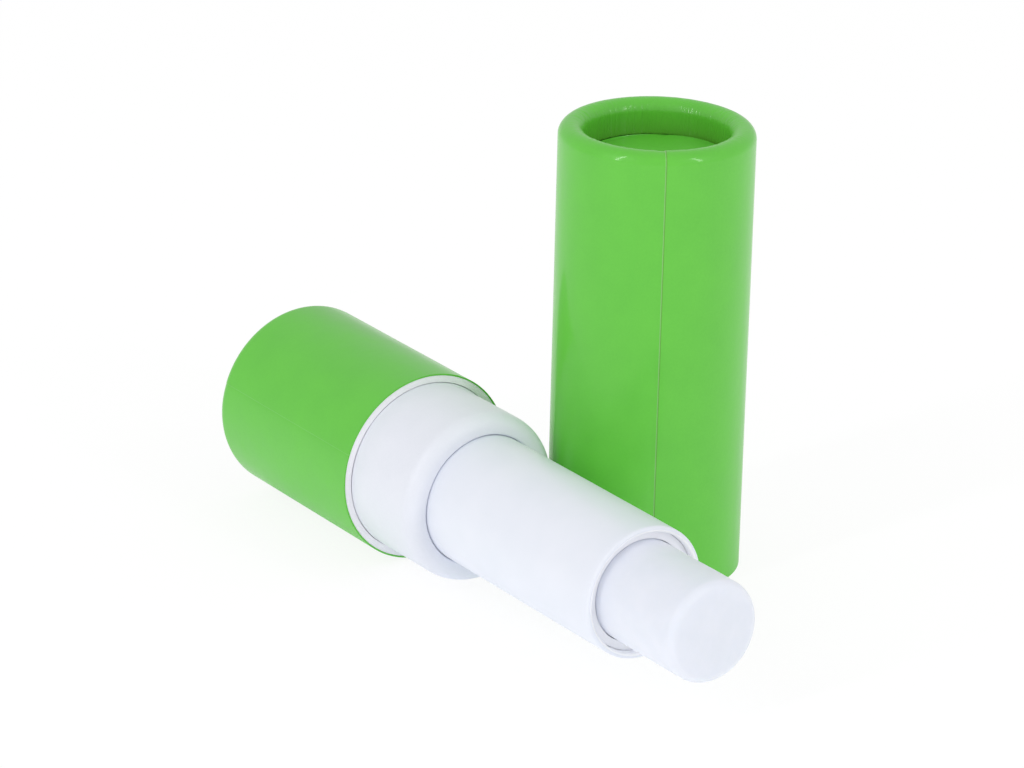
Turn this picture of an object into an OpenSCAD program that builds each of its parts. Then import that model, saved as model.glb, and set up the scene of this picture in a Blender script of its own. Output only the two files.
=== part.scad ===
// Twist-up lip balm in rolled paper tubes, shown open: the stick lies on its side
// and its cap stands beside it on the open end. Millimetres, +Z up.
// The origin is on the table under the middle of the whole arrangement, +X runs
// along the stick from its closed back end to the balm.

/* [Tube stock] */
// Outside radius of the cap and of the base
tube_r = 10; // [9.6:0.1:12]
// Thickness of the coloured paper wrap
wrap_t = 0.15; // [0.12:0.01:0.25]
// Thickness of the wound board under the wrap
board_t = 0.75; // [0.6:0.05:0.9]
// Radius of the roll where a closed end is curled in
curl_r = 1.5; // [1.2:0.1:2]
// Depth of an end disc below the crest of its curl
disc_depth = 3.5; // [3:0.1:5]
// Thickness of an end disc
disc_t = 1; // [0.8:0.1:1.5]
// How far the edge of an end disc beds into the board
disc_bite = 0.2; // [0.18:0.02:0.4]
// Width of the line where the edge of a wrap ends
seam_w = 0.16; // [0.1:0.02:0.3]
// Depth of that line
seam_deep = 0.07; // [0.04:0.01:0.09]

/* [Cap] */
// Room in the cap above the mouth of the sleeve
cap_headroom = 4.8; // [2:0.1:12]
// Distance of the standing cap from the front of the base, along the stick
cap_ahead = 12.3; // [11:0.1:20]
// Gap between the standing cap and the side of the collar, across the stick
cap_side_gap = 0.05; // [0.05:0.05:20]
// Direction of the cap's seam, seen from above
cap_seam_a = -30; // [-180:5:180]

/* [Base] */
// Length of the green base
base_len = 24.5; // [20:0.5:32]
// Direction of the base's seam, round the stick
base_seam_a = 251; // [0:1:360]
// Thickness of the foot of the mechanism holder
foot_t = 1.2; // [0.8:0.1:2]
// Depth of the socket that holds the guide tube
socket_h = 3; // [2:0.2:5]
// Thickness of the socket wall and of the ring outside it
holder_wall = 0.9; // [0.6:0.1:1.1]
// Number of ribs between the socket and that ring
rib_n = 6; // [3:1:10]
// Thickness of each rib
rib_t = 0.8; // [0.5:0.1:1.2]

/* [Collar] */
// How far the collar stands out of the base
collar_reach = 10.5; // [8:0.5:14]
// Thickness of the collar's white paper
collar_wrap_t = 0.18; // [0.16:0.01:0.22]
// Thickness of the collar's board
collar_board_t = 0.5; // [0.4:0.05:0.6]
// Radius of the collar's rounded shoulder
shoulder_r = 1.5; // [1:0.05:1.8]
// Radius of the turned-in edge of the collar's hole
hole_edge_r = 0.35; // [0.2:0.05:0.4]
// Direction of the step where the collar's paper overlaps
collar_seam_a = 162; // [0:1:360]
// Radial clearance of the cap on the collar
cap_fit = 0.05; // [0.01:0.01:0.1]
// Radial clearance of the sleeve in the collar's hole
hole_gap = 0.15; // [0.1:0.05:0.4]

/* [Sleeve and cam] */
// Outside radius of the sleeve
sleeve_r = 6.85; // [6.7:0.05:7.1]
// Wall of the sleeve
sleeve_t = 0.58; // [0.5:0.02:0.7]
// How far the mouth of the sleeve stands out of the base
sleeve_reach = 38; // [34:0.5:41]
// Height of the guiding flange at the sleeve's foot
flange_h = 2.5; // [1.5:0.1:4]
// Wall of the cam tube
cam_t = 0.42; // [0.36:0.02:0.5]
// Rise of the spiral slots in one turn
lead = 24; // [18:1:30]
// Uncut length at each end of the cam tube
cam_end = 1.5; // [1:0.1:2.5]

/* [Guide tube] */
// Wall of the guide tube
guide_t = 0.35; // [0.3:0.01:0.4]
// Depth of the guide tube's end below the mouth
guide_inset = 0.8; // [0.5:0.1:2]
// Thickness of the lip that keeps the cam tube down
guide_lip_t = 0.6; // [0.4:0.1:1]

/* [Balm and cup] */
// How far the balm stands out of the mouth
balm_out = 11.4; // [2:0.2:30]
// Depth of the balm's tip below the mouth when it is wound down
balm_sunk = 1; // [0.5:0.1:3]
// Radius of the balm's rounded edge
balm_edge_r = 1.25; // [0.6:0.05:2]
// Height of the slight dome on the balm's end
dome_h = 0.35; // [0.1:0.05:0.8]
// Gap between the balm and the guide tube
balm_gap = 0.2; // [0.15:0.05:0.3]
// Wall of the cup
cup_wall = 0.35; // [0.3:0.05:0.5]
// Thickness of the cup's floor
cup_floor = 1; // [0.6:0.1:1.5]
// Gap between the cup and the holder when it is wound down
cup_rest_gap = 0.5; // [0.3:0.1:1]
// Length of the cup above its lugs
cup_rim = 2.3; // [1:0.1:2.8]
// Radius of the two lugs
lug_r = 0.6; // [0.5:0.05:0.75]

/* [Clearances] */
// Radial gap of surfaces that turn or slide on each other
run_gap = 0.1; // [0.06:0.02:0.12]
// Radial gap of surfaces that are glued or pressed together
glue_gap = 0.05; // [0.02:0.01:0.06]
// Play of the turning parts along the stick
axial_play = 0.2; // [0.1:0.05:0.3]
// Gap between a lug and the sides of a slot
lug_gap = 0.15; // [0.1:0.01:0.2]
// Gap between a lug and the end of its slots
slot_end_gap = 0.3; // [0.2:0.05:0.5]

/* [Hidden] */
$fn = 96;
// A cut runs this far past what it cuts
past = 1;
// The same for the spiral slots, whose walls stay truer when it is small
spiral_past = 0.3;
// Turn of the spiral between two of its cross sections
spiral_step = 10;
// Edges of that cross section, which stay whole
slot_edges = 4;
// Least width of the flat ring between the collar's shoulder and the edge of its hole
collar_flat = 0.05;

// Radii, from the outside of the tubes inwards
tube_in = tube_r - wrap_t - board_t;
disc_r = tube_in + disc_bite - glue_gap / 2;
collar_r = tube_in - cap_fit;
collar_in = collar_r - collar_wrap_t - collar_board_t;
hole_r = sleeve_r + hole_gap;
shoulder_round = min(shoulder_r, collar_r - hole_r - hole_edge_r - collar_flat);
holder_r = collar_in - glue_gap;
flange_r = collar_in - run_gap;
sleeve_in = sleeve_r - sleeve_t;
cam_out = sleeve_in - glue_gap;
cam_in = cam_out - cam_t;
guide_out = cam_in - run_gap;
guide_in = guide_out - guide_t;
guide_lip_r = sleeve_in - run_gap;
socket_in = guide_out + glue_gap;
socket_out = socket_in + holder_wall;
cup_out = guide_in - run_gap;
cup_in = cup_out - cup_wall;
balm_r = guide_in - balm_gap;
lug_reach = cam_out - run_gap;

// Stations along the stick, counted from the crest of its curled back end
disc_top = disc_depth + disc_t;
foot_top = disc_top + foot_t;
socket_top = foot_top + socket_h;
sleeve_foot = socket_top + axial_play;
collar_top = base_len + collar_reach;
mouth = base_len + sleeve_reach;
cap_h = disc_top + cap_headroom + sleeve_reach;
guide_top = mouth - guide_inset;
cam_top = guide_top - guide_lip_t - axial_play;
cup_low = foot_top + cup_rest_gap;
rise = balm_out + balm_sunk;
cup_at = cup_low + rise;
lug_low = sleeve_foot + cam_end + slot_end_gap + lug_r;
lug_high = cam_top - cam_end - slot_end_gap - lug_r;
lug_at = lug_low + rise;
cup_top = lug_at + lug_r + cup_rim;
balm_tip = mouth + balm_out;

// Slots for the lugs
lug_a = 90;
slot_low = lug_low - lug_r - slot_end_gap;
slot_len = lug_high + lug_r + slot_end_gap - slot_low;
lug_room = 2 * (lug_r + lug_gap);
spiral_slope = atan(lead / (2 * PI * cam_in));
spiral_w = lug_room / sin(spiral_slope);
spiral_turn = 360 * slot_len / lead;

// Places of the stick and of the cap on the table
cap_beside = collar_r + tube_r + cap_side_gap;
stick_x = -balm_tip / 2;
stick_y = -cap_beside / 2;
cap_x = stick_x + base_len + cap_ahead;
cap_y = stick_y + cap_beside;

green = "#69c54c";
white_paper = "#e7eaf3";
white_board = "#e2dfe6";
white_plastic = "#e8ecf6";
balm_white = "#edf0f9";

// The stick lies on its base, with its back end at low X
module lying() {
    translate([stick_x, stick_y, tube_r]) rotate([0, 90, 0]) children();
}

// The cap stands on its open end
module standing() {
    translate([cap_x, cap_y, cap_h]) rotate([180, 0, 0]) children();
}

// Half section of a rolled tube, closed end down: one layer of it lies inset below the outer face
module rolled_section(len, inset, t) {
    roll = curl_r - inset;
    middle = tube_r - curl_r;
    translate([middle + roll - t, curl_r]) square([t, len - curl_r]);
    translate([middle - roll, curl_r]) square([t, disc_depth - curl_r]);
    translate([middle, curl_r]) intersection() {
        difference() {
            circle(roll);
            circle(roll - t);
        }
        translate([-curl_r, -curl_r]) square([2 * curl_r, curl_r]);
    }
}

// Coloured paper round a tube, with the line where it ends
module tube_wrap(len, seam_a) {
    difference() {
        rotate_extrude() rolled_section(len, 0, wrap_t);
        rotate(seam_a) translate([tube_r - seam_deep, -seam_w / 2, curl_r])
            cube([past, seam_w, len]);
    }
}

// Board of a tube, with the seat that the disc's edge beds into
module board_tube(len) {
    rotate_extrude() difference() {
        rolled_section(len, wrap_t, board_t);
        translate([tube_in - past, disc_depth]) square([past + disc_bite, disc_t]);
    }
}

// Disc that closes a tube, held against the end of the curl
module end_disc() {
    translate([0, 0, disc_depth]) cylinder(r = disc_r, h = disc_t);
}

// Half section of the collar from low up to its shoulder and hole: one layer of it
module collar_section(low, inset, t) {
    side = collar_r - inset;
    round_r = shoulder_round - inset;
    edge_r = hole_edge_r - inset;
    crest = collar_top - inset;
    translate([side - t, low]) square([t, crest - round_r - low]);
    translate([side - round_r, crest - round_r]) intersection() {
        difference() {
            circle(round_r);
            circle(round_r - t);
        }
        square(round_r);
    }
    translate([hole_r + hole_edge_r, crest - t])
        square([side - round_r - hole_r - hole_edge_r, t]);
    translate([hole_r + hole_edge_r, crest - edge_r]) intersection() {
        difference() {
            circle(edge_r);
            if (t < edge_r) circle(edge_r - t);
        }
        translate([-edge_r, 0]) square(edge_r);
    }
    if (t > edge_r) translate([hole_r + inset, crest - t]) square([edge_r, t - edge_r]);
}

module cap_wrap() {
    color(green) standing() tube_wrap(cap_h, -cap_seam_a);
}

module cap_board_tube() {
    color(white_board) standing() board_tube(cap_h);
}

module cap_end_disc() {
    color(green) standing() end_disc();
}

module base_wrap() {
    color(green) lying() tube_wrap(base_len, base_seam_a);
}

module base_board_tube() {
    color(white_board) lying() board_tube(base_len);
}

module base_end_disc() {
    color(green) lying() end_disc();
}

// White paper on the part of the collar that shows
module collar_wrap() {
    color(white_paper) lying() difference() {
        rotate_extrude() collar_section(base_len, 0, collar_wrap_t);
        rotate(collar_seam_a)
            translate([collar_r - seam_deep, -seam_w / 2, base_len - past])
            cube([past, seam_w, collar_reach - shoulder_round + past]);
    }
}

module collar_board_tube() {
    color(white_board) lying() rotate_extrude()
        collar_section(disc_top, collar_wrap_t, collar_board_t);
}

// Moulded foot: a ring pressed into the collar, ribs, and the socket of the guide tube
module mechanism_holder() {
    color(white_plastic) lying() {
        translate([0, 0, disc_top]) cylinder(r = holder_r, h = foot_t);
        translate([0, 0, foot_top - past]) linear_extrude(height = past + socket_h) {
            ring(holder_r, holder_r - holder_wall);
            ring(socket_out, socket_in);
            for (i = [0 : rib_n - 1])
                rotate((i + 1 / 2) * 360 / rib_n)
                    translate([socket_in + holder_wall / 2, -rib_t / 2])
                    square([holder_r - socket_in - holder_wall, rib_t]);
        }
    }
}

// Cross section of a tube
module ring(outside, inside) {
    difference() {
        circle(outside);
        circle(inside);
    }
}

// Tube with two straight slots, which keep the cup from turning
module guide_tube() {
    color(white_plastic) lying() difference() {
        union() {
            translate([0, 0, foot_top]) cylinder(r = guide_out, h = guide_top - foot_top);
            translate([0, 0, guide_top - guide_lip_t]) cylinder(r = guide_lip_r, h = guide_lip_t);
        }
        translate([0, 0, foot_top - past]) cylinder(r = guide_in, h = mouth);
        for (side = [0, 180])
            rotate(lug_a + side) translate([0, -lug_room / 2, slot_low])
                cube([guide_out + past, lug_room, slot_len]);
    }
}

// Sleeve that turns in the collar, with a rounded mouth and a guiding flange
module inner_sleeve() {
    lip_r = sleeve_t / 2;
    color(white_plastic) lying() rotate_extrude() {
        translate([sleeve_in, sleeve_foot]) square([sleeve_t, mouth - lip_r - sleeve_foot]);
        translate([sleeve_in + lip_r, mouth - lip_r]) circle(lip_r);
        translate([sleeve_in, sleeve_foot]) square([flange_r - sleeve_in, flange_h]);
    }
}

// Tube with two spiral slots: turning it drives the lugs along the straight ones
module cam_tube() {
    color(white_plastic) lying() difference() {
        translate([0, 0, sleeve_foot]) linear_extrude(height = cam_top - sleeve_foot)
            ring(cam_out, cam_in);
        for (side = [0, 180])
            rotate(lug_a + side + 360 * (lug_at - slot_low) / lead)
                translate([0, 0, slot_low])
                linear_extrude(height = slot_len, twist = spiral_turn,
                               slices = ceil(spiral_turn / spiral_step), segments = slot_edges)
                translate([cam_in - spiral_past, -spiral_w / 2])
                square([cam_t + 2 * spiral_past, spiral_w]);
    }
}

module balm_cup() {
    color(white_plastic) lying() {
        difference() {
            translate([0, 0, cup_at]) cylinder(r = cup_out, h = cup_top - cup_at);
            translate([0, 0, cup_at + cup_floor]) cylinder(r = cup_in, h = cup_top - cup_at);
        }
        for (side = [0, 180])
            rotate(lug_a + side) translate([cup_out - cup_wall / 2, 0, lug_at])
                rotate([0, 90, 0]) cylinder(r = lug_r, h = lug_reach - cup_out + cup_wall / 2);
    }
}

// Balm cast into the cup, with a rounded edge and a slightly domed end
module balm_bullet() {
    cast_r = cup_in - glue_gap;
    flat_r = balm_r - balm_edge_r;
    dome_r = (flat_r * flat_r + dome_h * dome_h) / (2 * dome_h);
    shoulder = balm_tip - dome_h - balm_edge_r;
    color(balm_white) lying() rotate_extrude() {
        translate([0, cup_at + cup_floor]) square([cast_r, cup_top - cup_at - cup_floor]);
        translate([0, cup_top]) square([balm_r, shoulder - cup_top]);
        translate([0, cup_top]) square([flat_r, balm_tip - dome_h - cup_top]);
        translate([flat_r, shoulder]) circle(balm_edge_r);
        intersection() {
            translate([0, balm_tip - dome_r]) circle(dome_r);
            translate([0, shoulder]) square([flat_r, balm_edge_r + dome_h]);
        }
    }
}

cap_wrap();
cap_board_tube();
cap_end_disc();
base_wrap();
base_board_tube();
base_end_disc();
collar_wrap();
collar_board_tube();
mechanism_holder();
guide_tube();
inner_sleeve();
cam_tube();
balm_cup();
balm_bullet();
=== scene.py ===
"""Twist-up lip balm in rolled paper tubes, shown open: the stick lies beside its standing cap.

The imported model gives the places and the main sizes. Its own solids keep the hidden mechanism, and the
pieces made here take over the paper, the board's cut edges, the sleeve and the balm, with the detail seen
from close by. The curls and the slits between the pieces are drawn a little tighter than in the model.

Lengths are in millimetres until a mesh is made. A tube is drawn standing on its closed end: a station is
the distance from the crest of that end, and a radius is taken from the tube's axis.
"""
import math

import bmesh
import bpy
import numpy as np
from mathutils import Matrix, Vector


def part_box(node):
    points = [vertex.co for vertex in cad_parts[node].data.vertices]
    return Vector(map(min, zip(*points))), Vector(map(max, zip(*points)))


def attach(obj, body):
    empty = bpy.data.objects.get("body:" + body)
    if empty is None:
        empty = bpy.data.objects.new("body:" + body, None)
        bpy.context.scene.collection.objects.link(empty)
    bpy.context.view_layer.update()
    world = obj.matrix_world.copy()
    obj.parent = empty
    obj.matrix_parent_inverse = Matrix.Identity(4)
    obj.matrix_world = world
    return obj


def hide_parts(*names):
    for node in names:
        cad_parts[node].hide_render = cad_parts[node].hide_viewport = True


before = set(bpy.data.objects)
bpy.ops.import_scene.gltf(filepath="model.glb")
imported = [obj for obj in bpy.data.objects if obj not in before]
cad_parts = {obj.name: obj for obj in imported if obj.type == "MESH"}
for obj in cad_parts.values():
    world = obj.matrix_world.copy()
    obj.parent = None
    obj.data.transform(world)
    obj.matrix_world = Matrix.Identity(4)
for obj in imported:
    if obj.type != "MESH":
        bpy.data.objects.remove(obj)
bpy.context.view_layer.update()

MM = 0.001


def box_mm(node):
    """Lowest and highest corner of a node of the model, in millimetres."""
    low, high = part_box(node)
    return Vector(low) / MM, Vector(high) / MM


# Camera, at the photograph's viewing angle. Angles are in degrees, and the place is in millimetres
IMAGE_WIDTH_PX = 1024
FOCAL_PX = 4700
SENSOR_MM = 36
FARTHEST_M = 10
CAMERA_TURN = -35.476
CAMERA_RISE = 21.356
CAMERA_ROLL = 1.363
CAMERA_AWAY = 475.99
CAMERA_AIM = Vector((-4.06, -4.82, 20.9))

camera = bpy.data.objects.new("camera", bpy.data.cameras.new("camera"))
bpy.context.scene.collection.objects.link(camera)
bpy.context.scene.camera = camera
camera.data.sensor_width = SENSOR_MM
camera.data.lens = FOCAL_PX / IMAGE_WIDTH_PX * SENSOR_MM
camera.data.clip_end = FARTHEST_M
camera_pose = (
    Matrix.Rotation(math.radians(CAMERA_TURN + 90), 4, "Z")
    @ Matrix.Rotation(math.radians(90 - CAMERA_RISE), 4, "X")
    @ Matrix.Rotation(math.radians(CAMERA_ROLL), 4, "Z")
)
camera_place = CAMERA_AIM + camera_pose.to_3x3() @ Vector((0, 0, CAMERA_AWAY))
camera.matrix_world = Matrix.Translation(camera_place * MM) @ camera_pose

# Sizes of the tubes, read from the model
cap_low, cap_high = box_mm("cap_wrap")
base_low, base_high = box_mm("base_wrap")
collar_low, collar_high = box_mm("collar_wrap")
sleeve_low, sleeve_high = box_mm("inner_sleeve")
disc_low, disc_high = box_mm("cap_end_disc")
balm_low, balm_high = box_mm("balm_bullet")

TUBE_R = (cap_high.x - cap_low.x) / 2
CAP_LEN = cap_high.z - cap_low.z
BASE_LEN = base_high.x - base_low.x
COLLAR_R = (collar_high.z - collar_low.z) / 2
COLLAR_TOP = collar_high.x - base_low.x
SLEEVE_FOOT = sleeve_low.x - base_low.x
MOUTH = sleeve_high.x - base_low.x
FLANGE_R = (sleeve_high.z - sleeve_low.z) / 2
DISC_DEPTH = cap_high.z - disc_high.z
DISC_T = disc_high.z - disc_low.z
BALM_FOOT = balm_low.x - base_low.x
CUP_TOP = box_mm("balm_cup")[1].x - base_low.x

# Wax nearly fills its guide tube, so the balm is drawn wider than its solid, and a touch shorter
BALM_SPREAD = 0.13
BALM_SHORT = 0.03
BALM_TIP = balm_high.x - base_low.x - BALM_SHORT
BALM_R = (balm_high.z - balm_low.z) / 2 + BALM_SPREAD

# Sizes that the boxes don't give. T is a thickness, R a radius and H a height
WRAP_T = 0.15
BOARD_T = 0.75
CURL_R = 1.3
SHOULDER_R = 1.5
HOLE_R = 6.89
HOLE_EDGE_R = 0.25
COLLAR_PAPER_T = 0.18
SLEEVE_R = 6.85
SLEEVE_T = 0.64
FLANGE_H = 2.5
BALM_EDGE_R = 0.9
BALM_DOME = 0.2
BALM_CAST_R = 4.85

# Turns round the tube at which the wrapping papers end, in degrees
CAP_SEAM = 31.5
BASE_SEAM = 251
COLLAR_SEAM = 162

# From a tube's own frame to the shared frame, in millimetres
stick_centre = (base_low + base_high) / 2
cap_centre = (cap_low + cap_high) / 2
stick_end = Vector((base_low.x, stick_centre.y, stick_centre.z))
cap_end = Vector((cap_centre.x, cap_centre.y, cap_high.z))
LYING = Matrix.Translation(stick_end) @ Matrix.Rotation(math.radians(90), 4, "Y")
STANDING = Matrix.Translation(cap_end) @ Matrix.Rotation(math.radians(180), 4, "X")


def srgb(code):
    """Linear colour of an sRGB hex value."""
    parts = [int(code[i:i + 2], 16) / 255 for i in (1, 3, 5)]
    return tuple(c / 12.92 if c <= 0.04045 else ((c + 0.055) / 1.055) ** 2.4 for c in parts)


def add(tree, kind, settings=None, **inputs):
    """Adds a node. settings are its own properties, and inputs are values or sockets.

    An input is named as in Blender, with _ for a space, or by its place, as _0 for the first.
    """
    node = tree.nodes.new(kind)
    for key, value in (settings or {}).items():
        setattr(node, key, value)
    for key, value in inputs.items():
        socket = node.inputs[int(key[1:])] if key[0] == "_" else node.inputs[key.replace("_", " ")]
        if isinstance(value, bpy.types.NodeSocket):
            tree.links.new(value, socket)
        else:
            socket.default_value = value
    return node


# Sections and spun meshes

def arc(r, station, radius, start, stop, steps):
    """Points of an arc of a section. 0 degrees points away from the axis, 90 towards the open end."""
    turns = np.radians(np.linspace(start, stop, steps + 1))
    return [(r + radius * math.cos(t), station + radius * math.sin(t)) for t in turns]


def line(start, stop, steps):
    """Points of a straight stretch of a section, without its last."""
    return [tuple(p) for p in np.linspace(start, stop, steps + 1)[:-1]]


def section_normals(section, closed):
    """Outward directions at the points of a section."""
    points = np.array(section)
    if closed:
        after = np.roll(points, -1, 0)
        tangents = after - np.roll(points, 1, 0)
        turned = (points[:, 0] * after[:, 1] - after[:, 0] * points[:, 1]).sum()
    else:
        tangents = np.gradient(points, axis=0)
        turned = points[-1, 1] - points[0, 1]
    side = 1 if turned > 0 else -1
    normals = np.stack([tangents[:, 1], -tangents[:, 0]], 1) * side
    return normals / np.linalg.norm(normals, axis=1)[:, None]


def spun(name, section, turns, rise, closed=True, marks=None):
    """Mesh of a section spun round the Z axis, in metres.

    turns are the angles in radians. rise(turn, station, k) lifts the points of the section outwards, and k
    counts them. marks are values by name, one for each point of the section or of the mesh, and are kept
    as attributes of the mesh.
    """
    points, normals = np.array(section, float), section_normals(section, closed)
    n, m = len(turns), len(points)
    angle = np.repeat(np.asarray(turns)[:, None], m, 1)
    r = np.repeat(points[None, :, 0], n, 0)
    z = np.repeat(points[None, :, 1], n, 0)
    lift = rise(angle, z, np.arange(m)[None, :])
    r = r + normals[None, :, 0] * lift
    z = z + normals[None, :, 1] * lift
    co = np.stack([r * np.cos(angle), r * np.sin(angle), z], 2).reshape(-1, 3) * MM
    span = m if closed else m - 1
    faces = [
        (i * m + j, ((i + 1) % n) * m + j, ((i + 1) % n) * m + (j + 1) % m, i * m + (j + 1) % m)
        for i in range(n)
        for j in range(span)
    ]
    mesh = bpy.data.meshes.new(name)
    mesh.from_pydata(co.tolist(), [], faces)
    for key, values in (marks or {}).items():
        values = np.asarray(values, float)
        if values.ndim == 1:
            values = np.repeat(values[None, :], n, 0)
        mesh.attributes.new(key, "FLOAT", "POINT").data.foreach_set("value", values.reshape(-1))
    return mesh


# Points closer than this are one point, and an edge that turns more than this is a sharp one
SAME_POINT_MM = 0.0005
SHARP_TURN = math.radians(40)


def face_outwards(mesh, merge_mm=0.0):
    """Turns the faces of a closed mesh outwards, after merging its points where a distance is given."""
    work = bmesh.new()
    work.from_mesh(mesh)
    if merge_mm:
        bmesh.ops.remove_doubles(work, verts=work.verts, dist=merge_mm * MM)
    bmesh.ops.recalc_face_normals(work, faces=work.faces)
    work.to_mesh(mesh)
    work.free()


def finished(name, mesh, place, material, body, node):
    """Object made of a mesh in a tube's own frame: closed, put in place and tied to the shared frame."""
    face_outwards(mesh, SAME_POINT_MM)
    in_metres = place.copy()
    in_metres.translation = place.translation * MM
    mesh.transform(in_metres)
    mesh.shade_smooth()
    mesh.set_sharp_from_angle(angle=SHARP_TURN)
    mesh.materials.clear()
    mesh.materials.append(material)
    piece = bpy.data.objects.new(name, mesh)
    bpy.context.scene.collection.objects.link(piece)
    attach(piece, body)
    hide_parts(node)


def even_turns(count):
    """Angles of one whole turn, in radians."""
    return np.linspace(0, 2 * math.pi, count, endpoint=False)


# Distances from a seam at which a mesh has extra turns, and how far past the last the even ones start
SEAM_DISTANCES = (0.015, 0.04, 0.08, 0.13, 0.2, 0.3, 0.45, 0.65)
SEAM_CLEAR = 1.2


def turns_with_seam(count, seam, radius):
    """Even turns, with close ones beside a seam so that its step is crisp."""
    close = np.array(SEAM_DISTANCES) / radius
    seam = math.radians(seam)
    beside = np.concatenate([seam - close, [seam], seam + close])
    away = even_turns(count)
    gap = np.abs((away - seam + math.pi) % (2 * math.pi) - math.pi)
    return np.sort(np.concatenate([away[gap > close[-1] * SEAM_CLEAR], beside]) % (2 * math.pi))


def from_seam(angle, seam):
    """Signed angle from a seam, in radians."""
    return (angle - math.radians(seam) + math.pi) % (2 * math.pi) - math.pi


# Highest phase drawn for a random wave, about a whole turn in radians
PHASE_LIMIT = 6.3


def random_waves(seed, count, lobes, twist=None):
    """Waves round a tube, as a function of the turn and the station that gives their mean height.

    lobes is the range of how many of them go round, and twist that of their turn in a millimetre. The
    function's last value is added to their phases.
    """
    random = np.random.default_rng(seed)
    waves = [
        (random.integers(*lobes), random.uniform(*twist) if twist else 0.0, random.uniform(0, PHASE_LIMIT))
        for _ in range(count)
    ]

    def height(angle, station, shift=0.0):
        return sum(np.sin(n * angle + w * station + p + shift) for n, w, p in waves) / count

    return height


# Materials

def new_material(name):
    """Material with an empty tree, and that tree."""
    material = bpy.data.materials.new(name)
    material.use_nodes = True
    tree = material.node_tree
    tree.nodes.clear()
    return material, tree


def noise(tree, place, size_mm, detail=3.0, roughness=0.55):
    """Noise whose features are about size_mm across."""
    return add(tree, "ShaderNodeTexNoise", Vector=place, Scale=1 / (size_mm * MM),
               Detail=detail, Roughness=roughness).outputs["Fac"]


def ramp(tree, value, low, high, to_low, to_high):
    """Value stretched from one range to another."""
    return add(tree, "ShaderNodeMapRange", _0=value, _1=low, _2=high,
               _3=to_low, _4=to_high).outputs["Result"]


def from_noise(tree, value, to_low, to_high):
    """Noise brought from the range that it mostly keeps to, to another."""
    usual_low, usual_high = 0.3, 0.7
    return ramp(tree, value, usual_low, usual_high, to_low, to_high)


def blend_colour(tree, factor, first, second):
    """Mix of two colours, each a linear value or a socket."""
    node = add(tree, "ShaderNodeMix", {"data_type": "RGBA"}, _0=factor)
    for socket, value in ((node.inputs[6], first), (node.inputs[7], second)):
        if isinstance(value, bpy.types.NodeSocket):
            tree.links.new(value, socket)
        else:
            socket.default_value = (*value, 1)
    return node.outputs[2]


def finish_surface(tree, colour, roughness, bumps, **constants):
    """Principled surface with a colour, a roughness and bumps given as (height socket, depth in mm)."""
    normal = None
    for height, depth in bumps:
        bump = add(tree, "ShaderNodeBump", Height=height, Distance=depth * MM)
        if normal is not None:
            tree.links.new(normal, bump.inputs["Normal"])
        normal = bump.outputs["Normal"]
    surface = add(tree, "ShaderNodeBsdfPrincipled", Base_Color=colour, Roughness=roughness, **constants)
    tree.links.new(normal, surface.inputs["Normal"])
    add(tree, "ShaderNodeOutputMaterial", Surface=surface.outputs["BSDF"])


def coated_paper(name, face, deep, cut_edge, shade, gloss, gloss_roughness):
    """Coated wrapping paper, printed, glued and rolled on.

    The coating gives a satin sheen with soft, slightly broken highlights. Fibres under it show as a faint
    mottle, and the cut edge of a seam is paler than the printed face. The mark cut of a mesh says where
    that edge is. The mark hollow is painted shade: it blends the paper towards the shade colour down the
    throat to the end disc, and as a painted shadow line beside the step of a seam.
    """
    material, tree = new_material(name)
    place = add(tree, "ShaderNodeTexCoord").outputs["Object"]
    fibre_mm, cloud_mm, skin_mm, wave_mm = 0.22, 3.5, 0.5, 2.6
    fibres = noise(tree, place, fibre_mm, detail=4.0, roughness=0.6)
    clouds = noise(tree, place, cloud_mm, detail=2.0)
    fibre_share, cloud_low, cloud_high = 0.16, 0.3, 0.7
    mottle = add(tree, "ShaderNodeMath", {"operation": "ADD"},
                 _0=from_noise(tree, fibres, -fibre_share, fibre_share),
                 _1=from_noise(tree, clouds, cloud_low, cloud_high)).outputs[0]
    printed = blend_colour(tree, mottle, srgb(deep), srgb(face))
    cut = add(tree, "ShaderNodeAttribute", {"attribute_name": "cut"}).outputs["Fac"]
    edged = blend_colour(tree, cut, printed, srgb(cut_edge))
    # Painted shade and painted shadow: the mark hollow blends the paper towards the shade colour
    hollow = add(tree, "ShaderNodeAttribute", {"attribute_name": "hollow"}).outputs["Fac"]
    colour = blend_colour(tree, hollow, edged, srgb(shade))
    satin_low, satin_high = 0.42, 0.5
    roughness = from_noise(tree, clouds, satin_low, satin_high)
    skin = noise(tree, place, skin_mm, detail=3.0)
    wave = noise(tree, place, wave_mm, detail=1.0)
    wave_deep, skin_deep, fibres_deep = 0.03, 0.008, 0.003
    finish_surface(tree, colour, roughness, [(wave, wave_deep), (skin, skin_deep), (fibres, fibres_deep)],
                   IOR=1.4, Coat_Weight=gloss, Coat_Roughness=gloss_roughness)
    return material


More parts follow.
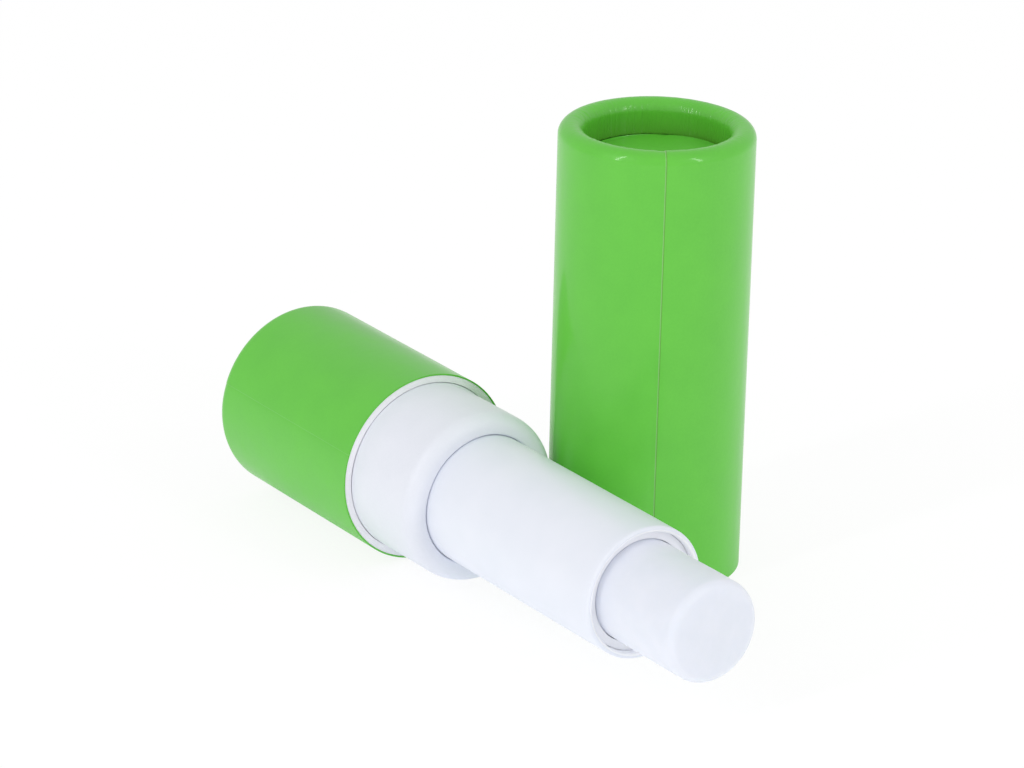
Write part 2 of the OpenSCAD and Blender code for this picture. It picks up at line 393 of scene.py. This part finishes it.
def wound_board(name, face, deep, place_matrix):
    """Grey-white board wound from plies of paper and cut off.

    The cut shows the plies as faint rings and a rough, fibrous face without any sheen.
    """
    material, tree = new_material(name)
    coordinates = add(tree, "ShaderNodeTexCoord").outputs["Object"]
    ply_mm, fluff_mm, ply_wander = 0.15, 0.12, 2.0
    to_axis = place_matrix.inverted()
    turned = add(tree, "ShaderNodeMapping", {"vector_type": "POINT"}, Vector=coordinates,
                 Location=to_axis.translation * MM, Rotation=to_axis.to_euler()).outputs[0]
    flat = add(tree, "ShaderNodeVectorMath", {"operation": "MULTIPLY"},
               _0=turned, _1=(1, 1, 0)).outputs[0]
    radius = add(tree, "ShaderNodeVectorMath", {"operation": "LENGTH"}, _0=flat).outputs["Value"]
    fluff = noise(tree, coordinates, fluff_mm, detail=4.0, roughness=0.7)
    phase = add(tree, "ShaderNodeMath", {"operation": "MULTIPLY_ADD"}, _0=radius,
                _1=2 * math.pi / (ply_mm * MM),
                _2=ramp(tree, fluff, 0, 1, -ply_wander, ply_wander)).outputs[0]
    plies = add(tree, "ShaderNodeMath", {"operation": "SINE"}, _0=phase).outputs[0]
    ply_low, ply_high, fluff_low, fluff_high = 0.25, 0.65, -0.2, 0.3
    shade = add(tree, "ShaderNodeMath", {"operation": "ADD"},
                _0=ramp(tree, plies, -1, 1, ply_low, ply_high),
                _1=from_noise(tree, fluff, fluff_low, fluff_high)).outputs[0]
    colour = blend_colour(tree, shade, srgb(deep), srgb(face))
    fibrous_low, fibrous_high = 0.85, 0.95
    roughness = from_noise(tree, fluff, fibrous_low, fibrous_high)
    fluff_deep, plies_deep = 0.03, 0.006
    finish_surface(tree, colour, roughness, [(fluff, fluff_deep), (plies, plies_deep)], IOR=1.45)
    return material


def moulded_plastic(name, face, deep, polish, milk):
    """White polypropylene, injection moulded: a milky skin with a soft gloss and faint flow marks.

    The inner side of a thin wall is painted near-white: painted light that stands in for the light soaking
    through the wall and lightening the slits. The mark inside says where that side is.
    """
    material, tree = new_material(name)
    place = add(tree, "ShaderNodeTexCoord").outputs["Object"]
    flow_mm, skin_mm, wave_mm = 6.0, 0.35, 5.0
    flow = noise(tree, place, flow_mm, detail=2.0)
    skin = noise(tree, place, skin_mm, detail=3.0)
    wave = noise(tree, place, wave_mm, detail=1.0)
    skin_colour = blend_colour(tree, from_noise(tree, flow, 0, 1), srgb(deep), srgb(face))
    inside = add(tree, "ShaderNodeAttribute", {"attribute_name": "inside"}).outputs["Fac"]
    # Painted light: near-white colour of the inner side
    painted_inner_light = srgb("#FDFDFE")
    colour = blend_colour(tree, inside, skin_colour, painted_inner_light)
    uneven = 0.03
    roughness = from_noise(tree, skin, polish - uneven, polish + uneven)
    wave_deep, skin_deep, soak_mm = 0.02, 0.002, 0.8
    finish_surface(tree, colour, roughness, [(wave, wave_deep), (skin, skin_deep)],
                   IOR=1.49, Subsurface_Weight=milk, Subsurface_Radius=(1.0, 1.0, 1.0),
                   Subsurface_Scale=soak_mm * MM)
    return material


def cast_balm(name, face, deep):
    """Wax balm cast in its tube: translucent, with a greasy soft sheen, faint clouds and tiny pits."""
    material, tree = new_material(name)
    place = add(tree, "ShaderNodeTexCoord").outputs["Object"]
    cloud_mm, grain_mm, pit_mm, drag_mm = 2.5, 0.3, 0.7, 1.6
    clouds = noise(tree, place, cloud_mm, detail=3.0)
    grain = noise(tree, place, grain_mm, detail=4.0, roughness=0.65)
    drag = noise(tree, place, drag_mm, detail=2.0)
    cells = add(tree, "ShaderNodeTexVoronoi", Vector=place, Scale=1 / (pit_mm * MM)).outputs["Distance"]
    pit_reach = 0.16
    pits = ramp(tree, cells, 0, pit_reach, 0, 1)
    colour = blend_colour(tree, from_noise(tree, clouds, 0, 1), srgb(deep), srgb(face))
    waxy_low, waxy_high = 0.42, 0.52
    roughness = from_noise(tree, grain, waxy_low, waxy_high)
    drag_deep, grain_deep, pits_deep, soak_mm = 0.05, 0.006, 0.01, 1.2
    finish_surface(tree, colour, roughness, [(drag, drag_deep), (grain, grain_deep), (pits, pits_deep)],
                   IOR=1.44, Subsurface_Weight=0.6, Subsurface_Radius=(1.0, 0.95, 0.9),
                   Subsurface_Scale=soak_mm * MM)
    return material


# shade is the colour that the painted shade in the throat and the painted shadow line of a seam blend to
green_paper = coated_paper(
    "printed wrapping paper, green", face="#63C73A", deep="#5ABD34", cut_edge="#B4DFA0", shade="#569428",
    gloss=0.46, gloss_roughness=0.11)
white_paper = coated_paper(
    "wrapping paper, white", face="#E9EBF4", deep="#E2E5EE", cut_edge="#F2F3F8", shade="#C4C7CF",
    gloss=0.2, gloss_roughness=0.35)
lying_board = wound_board("wound board of the stick", "#FBFAFE", "#EFEEF5", LYING)
standing_board = wound_board("wound board of the cap", "#FBFAFE", "#EFEEF5", STANDING)
sleeve_plastic = moulded_plastic(
    "moulded polypropylene, sleeve", "#EAEDF7", "#E6EAF4", polish=0.36, milk=0.2)
inner_plastic = moulded_plastic(
    "moulded polypropylene, inner pieces", "#FAFAFD", "#F6F7FB", polish=0.42, milk=0.1)
balm_wax = cast_balm("cast wax balm", "#E7EAF4", "#E3E7F1")


# Paper on the tubes

# Depth of the pleats, how many there are round a curl, and how much they change along it
PLEAT_DEPTH = 0.052
PLEAT_COUNT = 130
PLEAT_RUN = 0.9
# Heights of the noise between which the side of a pleat rises
PLEAT_LOW = 0.42
PLEAT_HIGH = 0.66


def pleat_tree(material):
    """Geometry Nodes: small pleats of the paper where it is drawn in over the curl, and its material.

    A pleat runs along the section, so the noise is stretched that way. The mark roll says how far the
    paper is drawn in.
    """
    tree = bpy.data.node_groups.new("pleats of curled paper", "GeometryNodeTree")
    tree.interface.new_socket("Geometry", in_out="INPUT", socket_type="NodeSocketGeometry")
    for name in ("Pleat depth", "Pleat count", "Seed"):
        tree.interface.new_socket(name, in_out="INPUT", socket_type="NodeSocketFloat")
    tree.interface.new_socket("Geometry", in_out="OUTPUT", socket_type="NodeSocketGeometry")
    given = tree.nodes.new("NodeGroupInput").outputs

    def scalar(operation, **inputs):
        return add(tree, "ShaderNodeMath", {"operation": operation}, **inputs).outputs[0]

    def vector(operation, **inputs):
        return add(tree, "ShaderNodeVectorMath", {"operation": operation}, **inputs).outputs[0]

    place = add(tree, "GeometryNodeInputPosition").outputs[0]
    roll = add(tree, "GeometryNodeInputNamedAttribute", {"data_type": "FLOAT"}, Name="roll").outputs[0]
    around = vector("NORMALIZE", _0=vector("MULTIPLY", _0=place, _1=(1, 1, 0)))
    spread = scalar("DIVIDE", _0=given["Pleat count"], _1=2 * math.pi)
    wound = vector("SCALE", _0=around, Scale=spread)
    run = scalar("MULTIPLY_ADD", _0=roll, _1=PLEAT_RUN, _2=given["Seed"])
    down = add(tree, "ShaderNodeCombineXYZ", Z=run).outputs[0]
    where = vector("ADD", _0=wound, _1=down)
    folds = add(tree, "ShaderNodeTexNoise", Vector=where, Scale=1.0, Detail=2.0, Roughness=0.6).outputs[0]
    creased = add(tree, "ShaderNodeMapRange", {"interpolation_type": "SMOOTHSTEP"}, Value=folds,
                  From_Min=PLEAT_LOW, From_Max=PLEAT_HIGH, To_Min=0.0, To_Max=1.0).outputs["Result"]
    height = scalar("MULTIPLY", _0=scalar("MULTIPLY", _0=creased, _1=roll), _1=given["Pleat depth"])
    normal = add(tree, "GeometryNodeInputNormal").outputs[0]
    offset = vector("SCALE", _0=normal, Scale=height)
    moved = add(tree, "GeometryNodeSetPosition", Geometry=given["Geometry"], Offset=offset).outputs[0]
    realized = add(tree, "GeometryNodeRealizeInstances", Geometry=moved).outputs[0]
    dressed = add(tree, "GeometryNodeSetMaterial", Geometry=realized, Material=material).outputs[0]
    add(tree, "NodeGroupOutput", Geometry=dressed)
    return tree


def pleated(mesh, material, depth_mm, count, seed):
    """Plain mesh of a paper after its pleats are made."""
    tree = pleat_tree(material)
    face_outwards(mesh)
    holder = bpy.data.objects.new("pleating", mesh)
    bpy.context.scene.collection.objects.link(holder)
    modifier = holder.modifiers.new("pleats", "NODES")
    modifier.node_group = tree
    values = {"Pleat depth": depth_mm * MM, "Pleat count": float(count), "Seed": float(seed)}
    for item in tree.interface.items_tree:
        if item.in_out == "INPUT" and item.name in values:
            modifier[item.identifier] = values[item.name]
    seen = holder.evaluated_get(bpy.context.evaluated_depsgraph_get())
    result = bpy.data.meshes.new_from_object(seen)
    holder.modifiers.remove(modifier)
    bpy.data.objects.remove(holder)
    return result


# Turn over which the step of a seam evens out
SEAM_FADE = math.radians(16)
# Width of the cut edge of a seam and of the painted shadow line beside its step
CUT_W = 0.06
STEP_SHADOW_W = 0.1
# Strength of the painted shade that darkens the paper down the throat, reached at the end disc
PAINTED_THROAT_SHADE = 0.75
# Where the paper starts to be drawn in, as a share of the curl's radius, and how slowly it does
DRAW_START = 0.9
DRAW_EASE = 1.5
# Depth of the shallow dents of the wall
PAPER_DENTS = 0.012


def wrap_mesh(name, length, seam, seam_step, cut_mark, step_shadow_mark, seed):
    """Coloured paper of a tube: along the wall, over the curl and down to the end disc.

    seam_step is how far the paper steps down beside the seam. cut_mark is the strength of the seam's cut
    edge, and the second mark that of the painted shadow line beside its step.
    """
    middle, inner = TUBE_R - CURL_R, CURL_R - WRAP_T
    throat = TUBE_R - 2 * CURL_R
    wall_steps, curl_steps = 26, 30
    outside = line((TUBE_R, length), (TUBE_R, CURL_R), wall_steps)
    outside += arc(middle, CURL_R, CURL_R, 0, -180, curl_steps)[:-1]
    outside += line((throat, CURL_R), (throat, DISC_DEPTH), 6) + [(throat, DISC_DEPTH)]
    inside = line((throat + WRAP_T, DISC_DEPTH), (throat + WRAP_T, CURL_R), 2)
    inside += arc(middle, CURL_R, inner, -180, 0, 16)[:-1]
    inside += line((TUBE_R - WRAP_T, CURL_R), (TUBE_R - WRAP_T, length), 3) + [(TUBE_R - WRAP_T, length)]
    section = outside + inside
    count = len(outside)
    # How far each point of the outside is drawn in, from none at the wall to all at the throat
    start, reach = middle + DRAW_START * CURL_R, (DRAW_START + 1) * CURL_R
    drawn = np.clip([(start - r) / reach for r, _ in outside], 0, 1) ** DRAW_EASE
    roll = np.concatenate([drawn, np.zeros(len(inside))])
    dents = random_waves(seed, 6, lobes=(2, 9), twist=(0.1, 0.35))
    turns = turns_with_seam(760, seam, TUBE_R)

    def rise(angle, station, k):
        beside = from_seam(angle, seam)
        step = np.where(beside > 0, np.clip(1 - beside / SEAM_FADE, 0, 1), 0)
        return np.where(k < count, -seam_step * step + PAPER_DENTS * dents(angle, station), 0)

    beside = from_seam(np.asarray(turns), seam)[:, None]
    shown = np.arange(len(section)) < count
    nearly_none = 1e-9
    edge = (beside >= -nearly_none) & (beside < CUT_W / TUBE_R)
    # Painted shadow: a dark line beside the seam's step, where its shadow falls
    step_shadow = (beside < -nearly_none) & (beside > -STEP_SHADOW_W / TUBE_R)
    cut = np.where(edge & shown, cut_mark, 0.0)
    # Painted shade: the paper darkens down the throat towards the end disc, joined by the seam's painted
    # shadow line
    inward = np.array([min(1.0, z / DISC_DEPTH) if r < middle else 0.0 for r, z in section])
    hollow = np.maximum(np.where(step_shadow & shown, step_shadow_mark, 0.0), PAINTED_THROAT_SHADE * inward[None, :])
    mesh = spun(name, section, turns, rise=rise, marks={"roll": roll, "cut": cut, "hollow": hollow})
    return pleated(mesh, green_paper, PLEAT_DEPTH, PLEAT_COUNT, seed)


cap_paper = wrap_mesh(
    "cap_paper", CAP_LEN, CAP_SEAM, seam_step=0.07, cut_mark=0.6, step_shadow_mark=0.75, seed=3)
finished("cap_paper", cap_paper, STANDING, green_paper, "cap", "cap_wrap")
base_paper = wrap_mesh(
    "base_paper", BASE_LEN, BASE_SEAM, seam_step=0.03, cut_mark=0.15, step_shadow_mark=0.0, seed=8)
finished("base_paper", base_paper, LYING, green_paper, "base", "base_wrap")


# Radii of the outer and the inner edge of a cut end
CUT_SOFT = 0.08
CUT_CRISP = 0.02
# Width of the smooth rim inside a cut end
CUT_RIM = 0.1
# Depth of the roughness of the rest of it, and how much it changes from one row of points to the next
CUT_ROUGH = 0.02
CUT_CHANGE = 2.0


def board_mesh(name, length, seed):
    """Board of a tube, with its cut end a little rounded and rough."""
    middle, outer, inner = TUBE_R - CURL_R, CURL_R - WRAP_T, CURL_R - WRAP_T - BOARD_T
    outside, bore, soft, crisp = TUBE_R - WRAP_T, TUBE_R - WRAP_T - BOARD_T, CUT_SOFT, CUT_CRISP
    section = line((outside, length - soft), (outside, CURL_R), 4)
    section += arc(middle, CURL_R, outer, 0, -180, 12)
    section += [(middle - outer, DISC_DEPTH), (middle - inner, DISC_DEPTH)]
    section += arc(middle, CURL_R, inner, -180, 0, 12)
    section += line((bore, CURL_R), (bore, length - crisp), 4)
    section += arc(bore + crisp, length - crisp, crisp, 180, 90, 2)
    first = len(section)
    section += line((bore + CUT_RIM, length), (outside - soft, length), 6)
    section += arc(outside - soft, length - soft, soft, 90, 0, 3)
    rough = random_waves(seed, 14, lobes=(5, 60))

    def rise(angle, station, k):
        return np.where(k >= first, CUT_ROUGH * rough(angle, station, CUT_CHANGE * k) - CUT_ROUGH, 0)

    return spun(name, section, even_turns(360), rise=rise)


cap_board = board_mesh("cap_board", CAP_LEN, seed=5)
finished("cap_board", cap_board, STANDING, standing_board, "cap", "cap_board_tube")
base_board = board_mesh("base_board", BASE_LEN, seed=6)
finished("base_board", base_board, LYING, lying_board, "base", "base_board_tube")


# Slit between a disc and the paper round it, and the radius of the disc's edge
DISC_SLIT = 0.06
DISC_SOFT = 0.2
# How far the middle of a disc sinks, the thickness of its part in the throat, and the height of its waves
DISC_HOLLOW = 0.12
DISC_STEP = 0.3
DISC_WAVES = 0.03


def disc_mesh(name, tilt, towards, seed):
    """Paper-faced disc pressed in behind the curl, a little hollow, with a soft edge.

    tilt is in degrees, and its high side is the one towards a turn round the tube.
    """
    edge_r, soft, hollow = TUBE_R - 2 * CURL_R - DISC_SLIT, DISC_SOFT, DISC_HOLLOW
    slope = math.tan(math.radians(tilt))
    outer = (disc_high.x - disc_low.x) / 2
    uneven = random_waves(seed, 4, lobes=(1, 5))
    face = [(r, DISC_DEPTH + hollow * (1 - (r / edge_r) ** 2)) for r in np.linspace(0, edge_r - soft, 14)]
    section = face + arc(edge_r - soft, DISC_DEPTH + soft, soft, -80, 0, 4)
    section += [(edge_r, DISC_DEPTH + DISC_STEP), (outer, DISC_DEPTH + DISC_STEP)]
    section += [(outer, DISC_DEPTH + DISC_T), (0, DISC_DEPTH + DISC_T)]

    def rise(angle, station, k):
        r = np.array([p[0] for p in section])[k]
        lean = slope * r * np.cos(angle - math.radians(towards))
        return np.where(k < len(face), lean + DISC_WAVES * uneven(angle, station) * r / edge_r, 0)

    return spun(name, section, even_turns(160), closed=False, rise=rise)


cap_disc = disc_mesh("cap_disc", tilt=1.6, towards=-55, seed=1)
finished("cap_disc", cap_disc, STANDING, green_paper, "cap", "cap_end_disc")
base_disc = disc_mesh("base_disc", tilt=0.4, towards=20, seed=2)
finished("base_disc", base_disc, LYING, green_paper, "base", "base_end_disc")


# Depth of the step where the collar's paper overlaps, and the turn over which it evens out
COLLAR_STEP = 0.15
COLLAR_FADE = math.radians(80)
# Lengths over which the step closes at the shoulder and at the base
COLLAR_TOP_FADE = 1.2
COLLAR_FOOT_FADE = 0.35
# Length of the close rows of points at the base
COLLAR_FOOT = 0.4
# Depth of the shallow dents of the collar, and for each wave of them its lobes and its turn in a millimetre
COLLAR_DENTS = 0.008
COLLAR_WAVES = ((3, 0.4), (7, -0.3))


def collar_mesh(name):
    """White paper of the collar: up its side, over the shoulder and into the hole."""
    t = COLLAR_PAPER_T
    side, crest, hole = COLLAR_R, COLLAR_TOP, HOLE_R + HOLE_EDGE_R
    outside = line((side, BASE_LEN), (side, BASE_LEN + COLLAR_FOOT), 3)
    outside += line((side, BASE_LEN + COLLAR_FOOT), (side, crest - SHOULDER_R), 14)
    outside += arc(side - SHOULDER_R, crest - SHOULDER_R, SHOULDER_R, 0, 90, 18)[:-1]
    outside += arc(hole, crest - HOLE_EDGE_R, HOLE_EDGE_R, 90, 180, 8)
    inside = arc(hole, crest - HOLE_EDGE_R, HOLE_EDGE_R - t, 180, 90, 6)
    inside += arc(side - SHOULDER_R, crest - SHOULDER_R, SHOULDER_R - t, 90, 0, 12)
    inside += [(side - t, BASE_LEN)]
    section, count = outside + inside, len(outside)
    turns = turns_with_seam(420, COLLAR_SEAM, COLLAR_R)

    def rise(angle, station, k):
        beside = from_seam(angle, COLLAR_SEAM)
        step = np.where(beside < 0, np.clip(1 + beside / COLLAR_FADE, 0, 1), 0)
        above = np.clip((crest - station) / COLLAR_TOP_FADE, 0, 1)
        below = np.clip((station - BASE_LEN) / COLLAR_FOOT_FADE, 0, 1)
        shallow = sum(np.sin(n * angle + w * station) for n, w in COLLAR_WAVES)
        return np.where(k < count, -COLLAR_STEP * step * above * below + COLLAR_DENTS * shallow, 0)

    return spun(name, section, turns, rise=rise)


collar_paper = collar_mesh("collar_paper")
finished("collar_paper", collar_paper, LYING, white_paper, "base", "collar_wrap")


# Depth of the sinks that moulding leaves along the wall, and for each wave of them its lobes, its turn in
# a millimetre, its phase and its share
SLEEVE_SINKS = 0.008
SLEEVE_WAVES = ((2, 0.05, 0, 1), (3, 0, 1.1, 0.6))


def sleeve_mesh(name):
    """Sleeve with a rounded mouth and a flange at its foot."""
    lip, inside = SLEEVE_T / 2, SLEEVE_R - SLEEVE_T
    wall_steps = 30
    section = line((SLEEVE_R, SLEEVE_FOOT + FLANGE_H), (SLEEVE_R, MOUTH - lip), wall_steps)
    section += arc(inside + lip, MOUTH - lip, lip, 0, 180, 14)
    section += line((inside, MOUTH - 2 * lip), (inside, SLEEVE_FOOT), 10) + [(inside, SLEEVE_FOOT)]
    section += [(FLANGE_R, SLEEVE_FOOT), (FLANGE_R, SLEEVE_FOOT + FLANGE_H)]

    def rise(angle, station, k):
        sink = sum(share * np.sin(n * angle + w * station + p) for n, w, p, share in SLEEVE_WAVES)
        return np.where(k < wall_steps, SLEEVE_SINKS * sink, 0)

    # Painted light: marks the inner side of the sleeve to be coloured near-white
    painted_light_side = [1.0 if r < inside + lip else 0.0 for r, _ in section]
    return spun(name, section, even_turns(256), rise=rise, marks={"inside": painted_light_side})


sleeve = sleeve_mesh("sleeve")
finished("sleeve", sleeve, LYING, sleeve_plastic, "sleeve", "inner_sleeve")


# Height of the waves that handling leaves on the balm
BALM_WAVES = 0.03
# Share of the dome's arc that is drawn, so that it doesn't meet the edge's arc in one point
DOME_SHARE = 0.97


def balm_mesh(name, seed):
    """Balm, with its foot in the cup, a rounded edge and a slightly domed end."""
    flat = BALM_R - BALM_EDGE_R
    dome_r = (flat ** 2 + BALM_DOME ** 2) / (2 * BALM_DOME)
    shoulder = BALM_TIP - BALM_DOME - BALM_EDGE_R
    slope = math.degrees(math.asin(flat / dome_r))
    foot = [(0, BALM_FOOT), (BALM_CAST_R, BALM_FOOT), (BALM_CAST_R, CUP_TOP)]
    section = foot + line((BALM_R, CUP_TOP), (BALM_R, shoulder), 70)
    section += arc(flat, shoulder, BALM_EDGE_R, 0, 90 - slope / 2, 12)
    section += arc(0, BALM_TIP - dome_r, dome_r, 90 - slope * DOME_SHARE, 90, 16)
    soft = random_waves(seed, 9, lobes=(1, 7), twist=(0.2, 1.2))

    def rise(angle, station, k):
        r = np.array([p[0] for p in section])[k]
        return np.where(k >= len(foot), BALM_WAVES * soft(angle, station) * np.clip(r / flat, 0, 1), 0)

    return spun(name, section, even_turns(220), closed=False, rise=rise)


balm = balm_mesh("balm", seed=4)
finished("balm", balm, LYING, balm_wax, "balm", "balm_bullet")

# Pieces of the model that are kept, with the finish of the real ones
for node, material in (
    ("collar_board_tube", lying_board),
    ("mechanism_holder", inner_plastic),
    ("guide_tube", inner_plastic),
    ("cam_tube", inner_plastic),
    ("balm_cup", inner_plastic),
):
    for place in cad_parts[node].material_slots:
        place.material = material

# Floor and light

# Half the floor's side in metres, how white it is, and how strongly it is lit from below
FLOOR_HALF = 3.0
FLOOR_WHITE = 0.92
FLOOR_GLOW = 0.2
# Share of plain white in what the camera sees of the floor
WHITE_SHARE = 0.85
# Light of the room from the sides and from straight above
ROOM_SIDES = 0.77
ROOM_TOP = 0.73
# Height over the floor that the lamps face, in metres
LAMP_AIM = 0.03
# Enough that the white slits between the pieces don't turn black
BOUNCES = 12
WHITE = (1, 1, 1, 1)


def studio_floor():
    """White floor lit from below too, as on a light table, so that the undersides are as light as the tops.

    What the camera sees of it is mostly plain white, so the shadows on it stay faint.
    """
    material, tree = new_material("white studio floor")
    sheet = add(tree, "ShaderNodeBsdfDiffuse", Color=(FLOOR_WHITE, FLOOR_WHITE, FLOOR_WHITE, 1)).outputs[0]
    glow = add(tree, "ShaderNodeEmission", Color=WHITE, Strength=FLOOR_GLOW).outputs[0]
    lit = add(tree, "ShaderNodeAddShader", _0=sheet, _1=glow).outputs[0]
    plain = add(tree, "ShaderNodeEmission", Color=WHITE, Strength=1.0).outputs[0]
    seen = add(tree, "ShaderNodeLightPath").outputs["Is Camera Ray"]
    share = add(tree, "ShaderNodeMath", {"operation": "MULTIPLY"}, _0=seen, _1=WHITE_SHARE).outputs[0]
    mixed = add(tree, "ShaderNodeMixShader", _0=share, _1=lit, _2=plain).outputs[0]
    add(tree, "ShaderNodeOutputMaterial", Surface=mixed)
    mesh = bpy.data.meshes.new("floor")
    corners = [(-1, -1), (1, -1), (1, 1), (-1, 1)]
    mesh.from_pydata([(x * FLOOR_HALF, y * FLOOR_HALF, 0) for x, y in corners], [], [(0, 1, 2, 3)])
    mesh.materials.append(material)
    floor = bpy.data.objects.new("floor", mesh)
    bpy.context.scene.collection.objects.link(floor)


def white_room():
    """Light from all round, less of it from above, which the camera itself sees as plain white."""
    world = bpy.data.worlds.new("studio")
    world.use_nodes = True
    bpy.context.scene.world = world
    tree = world.node_tree
    tree.nodes.clear()
    seen = add(tree, "ShaderNodeLightPath").outputs["Is Camera Ray"]
    direction = add(tree, "ShaderNodeTexCoord").outputs["Generated"]
    up = add(tree, "ShaderNodeSeparateXYZ", Vector=direction).outputs["Z"]
    cast = ramp(tree, up, 0, 1, ROOM_SIDES, ROOM_TOP)
    level = add(tree, "ShaderNodeMapRange", _0=seen, _3=cast, _4=1.0).outputs["Result"]
    room = add(tree, "ShaderNodeBackground", Color=WHITE, Strength=level).outputs[0]
    add(tree, "ShaderNodeOutputWorld", Surface=room)


def softbox(name, turn, rise, away, width, height, power):
    """Upright lamp that faces the object from a turn round it and a rise over the floor, in degrees.

    Its distance and size are in metres and its power is in watts.
    """
    lamp = bpy.data.objects.new(name, bpy.data.lights.new(name, "AREA"))
    lamp.data.shape = "RECTANGLE"
    lamp.data.size = width
    lamp.data.size_y = height
    lamp.data.energy = power
    turn, rise = math.radians(turn), math.radians(rise)
    towards = Vector((math.cos(rise) * math.cos(turn), math.cos(rise) * math.sin(turn), math.sin(rise)))
    place = Matrix.Translation(towards * away + Vector((0, 0, LAMP_AIM)))
    lamp.matrix_world = place @ towards.to_track_quat("Z", "Y").to_matrix().to_4x4()
    bpy.context.scene.collection.objects.link(lamp)


studio_floor()
softbox("left softbox", turn=-83, rise=32, away=0.8, width=0.055, height=0.6, power=1.36)
softbox("right softbox", turn=16, rise=33, away=0.8, width=0.07, height=0.42, power=0.9)
white_room()
bpy.context.scene.cycles.max_bounces = BOUNCES
bpy.context.scene.cycles.diffuse_bounces = BOUNCES
bpy.context.scene.view_settings.view_transform = "Standard"
